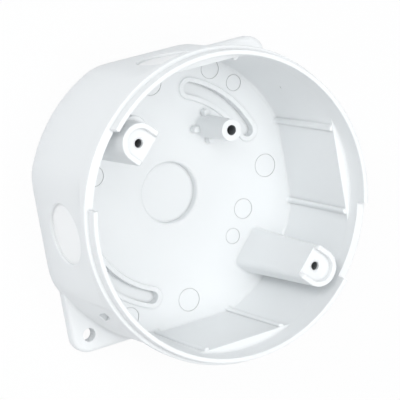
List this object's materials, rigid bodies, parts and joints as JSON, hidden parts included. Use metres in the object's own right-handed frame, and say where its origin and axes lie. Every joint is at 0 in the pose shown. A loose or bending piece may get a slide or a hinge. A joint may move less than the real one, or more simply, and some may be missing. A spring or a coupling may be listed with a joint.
{
  "type": "detector mounting base",
  "caption": "Deep round mounting base for a ceiling detector: open moulded box with two wall ears, two screw posts, a raised lip, conduit knock-outs and curved screw slots.",
  "frame": {"origin": "centre of the flat back face, on the axis of the round shell", "axes": "+Z out of the open mouth, away from the wall or ceiling; the four flats face +X, -X, +Y and -Y; the ears lie at 45 and 225 degrees about +Z and the screw posts at 135 and 315"},
  "size_m": [0.103, 0.103, 0.0478],
  "materials": {
    "moulding": "satin"
  },
  "bodies": {
    "root": {"mounting_base": "moulding"}
  },
  "joints": []
}
